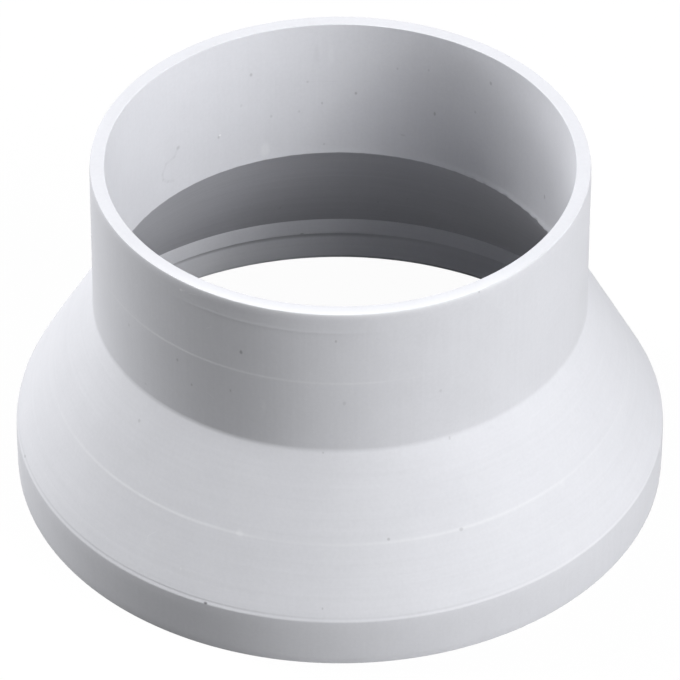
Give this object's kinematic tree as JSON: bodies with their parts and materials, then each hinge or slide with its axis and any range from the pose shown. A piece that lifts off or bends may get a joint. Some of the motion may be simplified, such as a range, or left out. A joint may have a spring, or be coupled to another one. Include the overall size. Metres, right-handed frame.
{
  "type": "reducing ring",
  "caption": "Moulded plastic reducing ring for round ventilation duct: a straight spigot, a widening cone and a short socket band at the foot.",
  "frame": {"origin": "on the axis, in the plane of the base that the ring stands on", "axes": "+Z along the ring's axis, from the socket band up to the spigot's rim; +X and +Y are any two square directions, because the ring is round"},
  "size_m": [0.1336, 0.1336, 0.0745],
  "materials": {
    "moulded_plastic": "satin light grey moulded PVC"
  },
  "bodies": {
    "root": {"reducing_ring": "moulded_plastic"}
  },
  "joints": []
}
